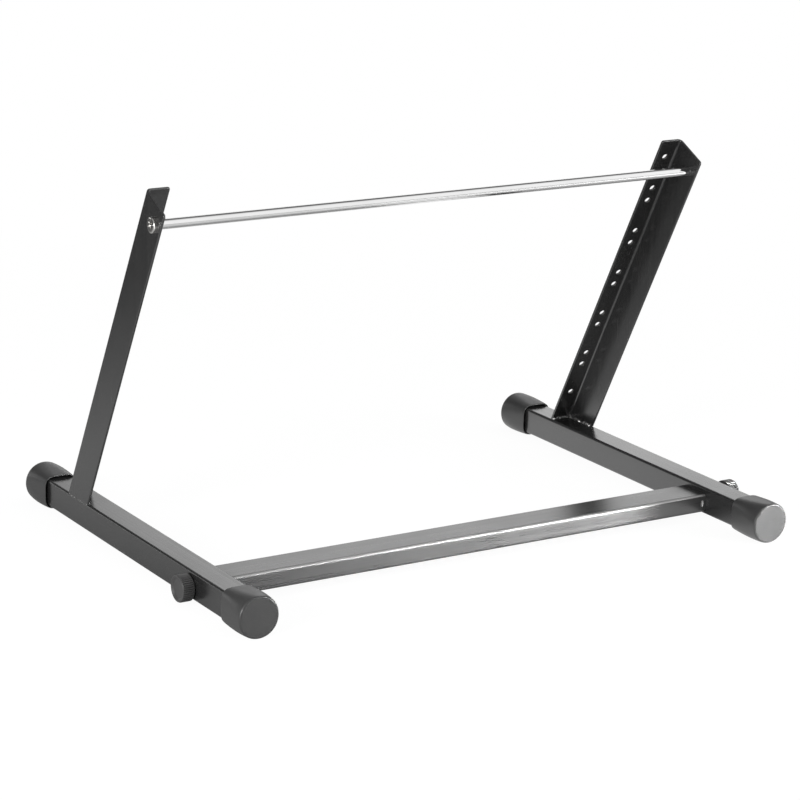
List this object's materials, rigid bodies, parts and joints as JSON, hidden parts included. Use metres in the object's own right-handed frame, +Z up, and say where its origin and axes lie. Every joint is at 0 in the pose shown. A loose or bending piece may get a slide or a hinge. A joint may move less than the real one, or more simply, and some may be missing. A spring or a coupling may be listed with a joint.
{
  "type": "equipment rack stand",
  "caption": "Table-top equipment rack stand: leaning tapped angle rails on square-tube feet with rubber end caps, a cross tube held by thumbscrews and a steel spacer rod.",
  "frame": {"origin": "on the floor at the middle of the base, between the rails and halfway along the base tubes", "axes": "+Z up; -Y towards the user who faces the panels, +Y to the back; +X to the user's right along the cross tube"},
  "size_m": [0.5149, 0.36, 0.2973],
  "materials": {
    "satin_black_paint": "satin black enamel with fine draw lines",
    "painted_weld": "glossy painted weld bead",
    "cap_rubber": "matt dark grey rubber",
    "plug_steel": "plain machined",
    "zinc_plate": "zinc plated thread",
    "knob_plastic": "moulded, fine ribs",
    "bright_chrome": "bright plated round bar",
    "screw_nickel": "bright pan head with a cross recess"
  },
  "bodies": {
    "stand_frame": {"left_base_tube": "satin_black_paint", "right_base_tube": "satin_black_paint", "left_rail": "satin_black_paint", "right_rail": "satin_black_paint", "left_rail_weld": "painted_weld", "right_rail_weld": "painted_weld", "front_left_cap": "cap_rubber", "front_right_cap": "cap_rubber", "rear_left_cap": "cap_rubber", "rear_right_cap": "cap_rubber", "cross_tube": "satin_black_paint", "left_plug": "plug_steel", "right_plug": "plug_steel", "support_rod": "bright_chrome", "left_rod_screw": "screw_nickel", "right_rod_screw": "screw_nickel"},
    "left_thumbscrew_stud": {"left_stud": "zinc_plate"},
    "left_thumbscrew_knob": {"left_knob": "knob_plastic"},
    "right_thumbscrew_stud": {"right_stud": "zinc_plate"},
    "right_thumbscrew_knob": {"right_knob": "knob_plastic"}
  },
  "joints": [
    {"name": "left_knob_turn", "type": "hinge", "parent": "left_thumbscrew_stud", "child": "left_thumbscrew_knob", "pos_m": [-0.24355, 0.095, 0.01445], "axis": [-1, 0, 0], "range_deg": [-2484, 1116]},
    {"name": "left_stud_travel", "type": "slide", "parent": "stand_frame", "child": "left_thumbscrew_stud", "axis": [-1, 0, 0], "range_m": [-0.0069, 0.0031]},
    {"name": "right_knob_turn", "type": "hinge", "parent": "right_thumbscrew_stud", "child": "right_thumbscrew_knob", "pos_m": [0.24355, 0.095, 0.01445], "axis": [1, 0, 0], "range_deg": [0, 3600]},
    {"name": "right_stud_travel", "type": "slide", "parent": "stand_frame", "child": "right_thumbscrew_stud", "axis": [1, 0, 0], "range_m": [0, 0.01]}
  ],
  "couplings": [
    {"joint": "left_knob_turn", "follows": "left_stud_travel", "rad_per_m": 6282.6},
    {"joint": "right_knob_turn", "follows": "right_stud_travel", "rad_per_m": 6282.6}
  ]
}
